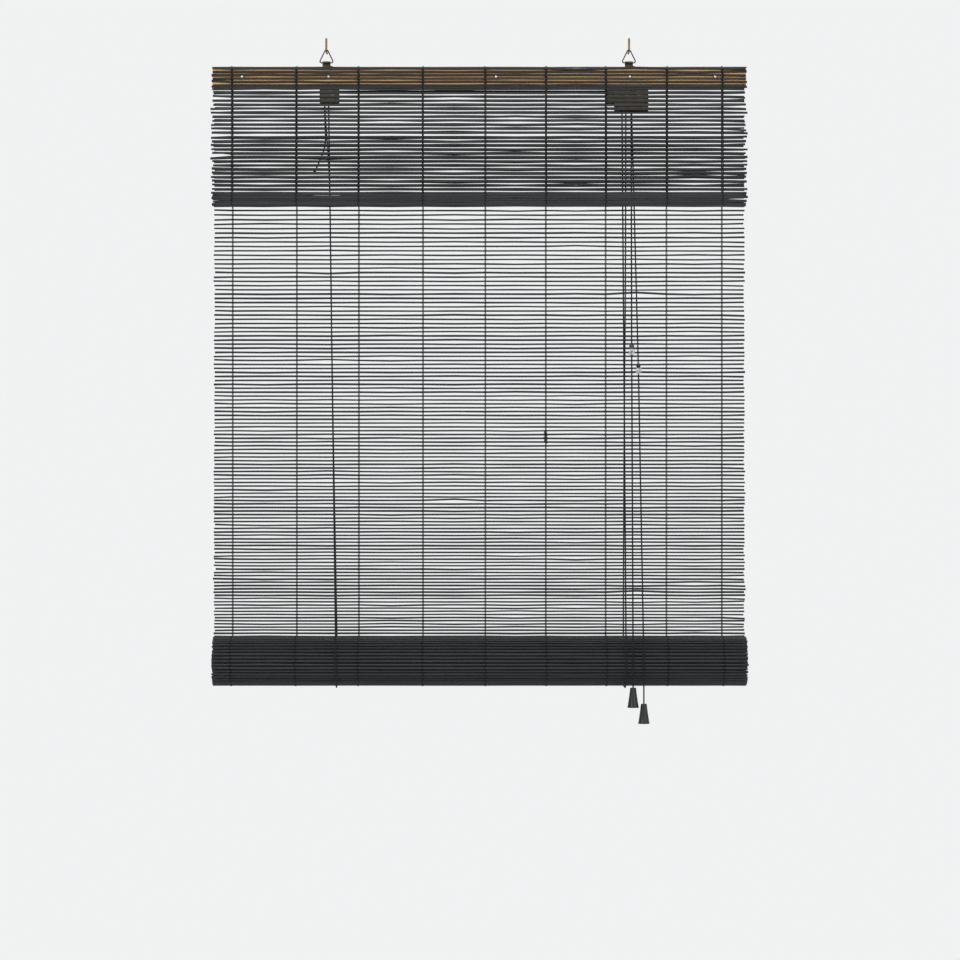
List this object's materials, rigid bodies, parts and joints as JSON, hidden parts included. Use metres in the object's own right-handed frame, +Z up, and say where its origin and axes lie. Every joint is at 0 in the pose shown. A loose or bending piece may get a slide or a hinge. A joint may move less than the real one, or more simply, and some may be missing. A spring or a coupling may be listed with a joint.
{
  "type": "bamboo roll up blind",
  "caption": "Bamboo roll up blind with valance, wooden head batten, cord lock and two pull cords, partly rolled up, hung by wire rings on screw hooks in a wall",
  "frame": {"origin": "midway between the two hook screws, where their axes meet the wall", "axes": "+Z up, +Y into the wall, the blind hangs in front of the wall on the -Y side, +X to the right for someone facing the blind"},
  "size_m": [0.5988, 0.0831, 0.7648],
  "materials": {
    "dark_brass": "satin",
    "lock_brass": "satin",
    "copper_wire": "bright",
    "steel": "bright",
    "batten_wood": "bare",
    "stained_bamboo": "stained matt",
    "thread": "twisted cotton",
    "cord": "braided",
    "clear_plastic": "clear plastic",
    "tassel_plastic": "glossy"
  },
  "bodies": {
    "hangers": {"wall_hooks": "dark_brass", "hanging_rings": "copper_wire"},
    "head": {"head_batten": "batten_wood", "batten_nails": "steel", "left_bracket": "dark_brass", "right_bracket": "dark_brass", "left_pulley_pin": "steel", "lock_roller_pin": "steel", "lock_pawl_pin": "steel", "valance_mat": "stained_bamboo", "valance_threads": "thread", "hanging_mat": "stained_bamboo", "hanging_threads": "thread", "lock_cords": "cord", "lift_front_runs": "cord", "lift_back_runs": "cord", "tied_ends": "cord", "left_pull_upper_cord": "cord", "right_pull_upper_cord": "cord"},
    "cord_loops": {"roll_cord_loops": "cord"},
    "roll": {"rolled_mat": "stained_bamboo", "bottom_rod": "stained_bamboo"},
    "left_wheel": {"left_pulley": "lock_brass"},
    "lock_wheel": {"lock_roller": "lock_brass"},
    "pawl": {"lock_pawl": "lock_brass"},
    "left_pull": {"left_pull_lower_cord": "cord", "left_connector": "clear_plastic", "left_tassel": "tassel_plastic"},
    "right_pull": {"right_pull_lower_cord": "cord", "right_connector": "clear_plastic", "right_tassel": "tassel_plastic"}
  },
  "joints": [
    {"name": "blind_swing", "type": "hinge", "parent": "hangers", "child": "head", "pos_m": [0, -0.0062, -0.0124], "axis": [-1, 0, 0], "range_deg": [0, 40]},
    {"name": "roll_lift", "type": "slide", "parent": "head", "child": "cord_loops", "axis": [0, 0, 1], "range_m": [0, 0.455], "deforming": ["hanging_mat", "hanging_threads", "lift_front_runs", "lift_back_runs"]},
    {"name": "roll_turn", "type": "hinge", "parent": "cord_loops", "child": "roll", "pos_m": [0, -0.03, -0.682], "axis": [-1, 0, 0], "range_deg": [0, 980]},
    {"name": "left_pull_slide", "type": "slide", "parent": "head", "child": "left_pull", "axis": [0, -0.1392, -0.9903], "range_m": [0, 0.911], "deforming": ["left_pull_upper_cord"]},
    {"name": "right_pull_slide", "type": "slide", "parent": "head", "child": "right_pull", "axis": [0, -0.1392, -0.9903], "range_m": [0, 0.911], "deforming": ["right_pull_upper_cord"]},
    {"name": "left_pulley_spin", "type": "hinge", "parent": "head", "child": "left_wheel", "pos_m": [-0.1618, -0.01135, -0.0499], "axis": [0, 1, 0], "continuous": true},
    {"name": "lock_roller_spin", "type": "hinge", "parent": "head", "child": "lock_wheel", "pos_m": [0.1667, -0.00995, -0.0499], "axis": [0, 1, 0], "continuous": true},
    {"name": "lock_pawl_tilt", "type": "hinge", "parent": "head", "child": "pawl", "pos_m": [0.1806, -0.00995, -0.0487], "axis": [0, -1, 0], "range_deg": [0, 35]}
  ],
  "couplings": [
    {"joint": "roll_turn", "follows": "roll_lift", "rad_per_m": 37.5},
    {"joint": "left_pull_slide", "follows": "roll_lift", "ratio": 2},
    {"joint": "right_pull_slide", "follows": "roll_lift", "ratio": 2},
    {"joint": "left_pulley_spin", "follows": "roll_lift", "rad_per_m": 384.62},
    {"joint": "lock_roller_spin", "follows": "roll_lift", "rad_per_m": 384.62}
  ]
}
